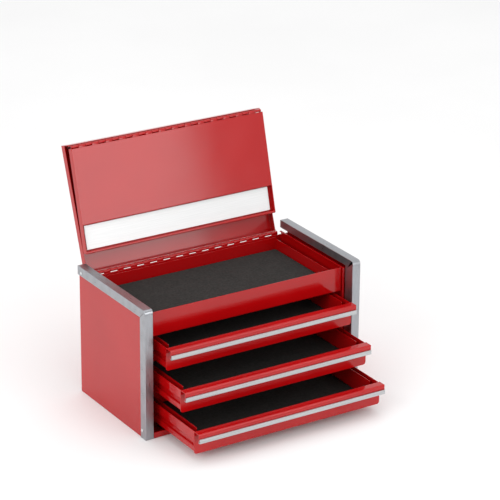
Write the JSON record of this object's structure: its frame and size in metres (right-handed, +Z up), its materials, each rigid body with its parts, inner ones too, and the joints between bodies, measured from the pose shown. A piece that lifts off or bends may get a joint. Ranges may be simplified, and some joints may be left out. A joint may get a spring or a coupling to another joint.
{
  "type": "toolbox with tray",
  "caption": "Desktop steel tool chest with a lined top tray, stacked sliding drawers, a rear-hinged lid and a front cover flap that folds against the lid.",
  "frame": {"origin": "centre of the chest's underside, at the middle of its width and of its depth over the edge trims", "axes": "+Z up, -Y out of the front where the drawers open, +X to the right as seen from the front"},
  "size_m": [0.3224, 0.3352, 0.3214],
  "materials": {
    "red_paint": "gloss red enamel",
    "edge_trim": "satin metallic grey",
    "pull_strip": "satin",
    "plate": "bright, plain",
    "rivet": "bright",
    "hinge_pin": "plain",
    "foam_mat": "fine-celled foam, matt"
  },
  "bodies": {
    "cabinet": {"side_panel_left": "red_paint", "side_panel_right": "red_paint", "side_liner_left": "red_paint", "side_liner_right": "red_paint", "back_panel": "red_paint", "base_pan": "red_paint", "tray_front": "red_paint", "tray_pan": "red_paint", "tray_mat": "foam_mat", "edge_trim_left": "edge_trim", "edge_trim_right": "edge_trim", "trim_rivet_top_left": "rivet", "trim_rivet_top_right": "rivet", "trim_rivet_front_left": "rivet", "trim_rivet_front_right": "rivet", "rail_1_left": "red_paint", "rail_1_right": "red_paint", "rail_2_left": "red_paint", "rail_2_right": "red_paint", "rail_3_left": "red_paint", "rail_3_right": "red_paint", "lid_hinge_body_leaf": "red_paint"},
    "lid_pin": {"lid_hinge_pin": "hinge_pin"},
    "lid": {"lid_pan": "red_paint", "lid_hinge_lid_leaf": "red_paint", "flap_hinge_lid_leaf": "red_paint", "flap_hinge_pin": "hinge_pin"},
    "flap": {"flap_panel": "red_paint", "flap_plate": "plate", "flap_hinge_flap_leaf": "red_paint"},
    "drawer_1": {"drawer_1_box": "red_paint", "drawer_1_front": "red_paint", "drawer_1_pull_strip": "pull_strip", "drawer_1_mat": "foam_mat", "drawer_1_runner_left": "red_paint", "drawer_1_runner_right": "red_paint"},
    "drawer_2": {"drawer_2_box": "red_paint", "drawer_2_front": "red_paint", "drawer_2_pull_strip": "pull_strip", "drawer_2_mat": "foam_mat", "drawer_2_runner_left": "red_paint", "drawer_2_runner_right": "red_paint"},
    "drawer_3": {"drawer_3_box": "red_paint", "drawer_3_front": "red_paint", "drawer_3_pull_strip": "pull_strip", "drawer_3_mat": "foam_mat", "drawer_3_runner_left": "red_paint", "drawer_3_runner_right": "red_paint"}
  },
  "joints": [
    {"name": "lid_hinge", "type": "hinge", "parent": "lid_pin", "child": "lid", "pos_m": [0, 0.0855, 0.1595], "axis": [1, 0, 0], "range_deg": [0, 102]},
    {"name": "lid_hinge_last_part", "type": "hinge", "parent": "cabinet", "child": "lid_pin", "pos_m": [0, 0.0855, 0.1595], "axis": [1, 0, 0], "range_deg": [0, 7.2]},
    {"name": "flap_hinge", "type": "hinge", "parent": "lid", "child": "flap", "pos_m": [0, 0.12991, 0.31896], "axis": [-1, 0, 0], "range_deg": [0, 94.3]},
    {"name": "drawer_1_slide", "type": "slide", "parent": "cabinet", "child": "drawer_1", "axis": [0, 1, 0], "range_m": [-0.0749, 0.0401]},
    {"name": "drawer_2_slide", "type": "slide", "parent": "cabinet", "child": "drawer_2", "axis": [0, 1, 0], "range_m": [-0.0399, 0.0751]},
    {"name": "drawer_3_slide", "type": "slide", "parent": "cabinet", "child": "drawer_3", "axis": [0, 1, 0], "range_m": [-0.0075, 0.1075]}
  ]
}
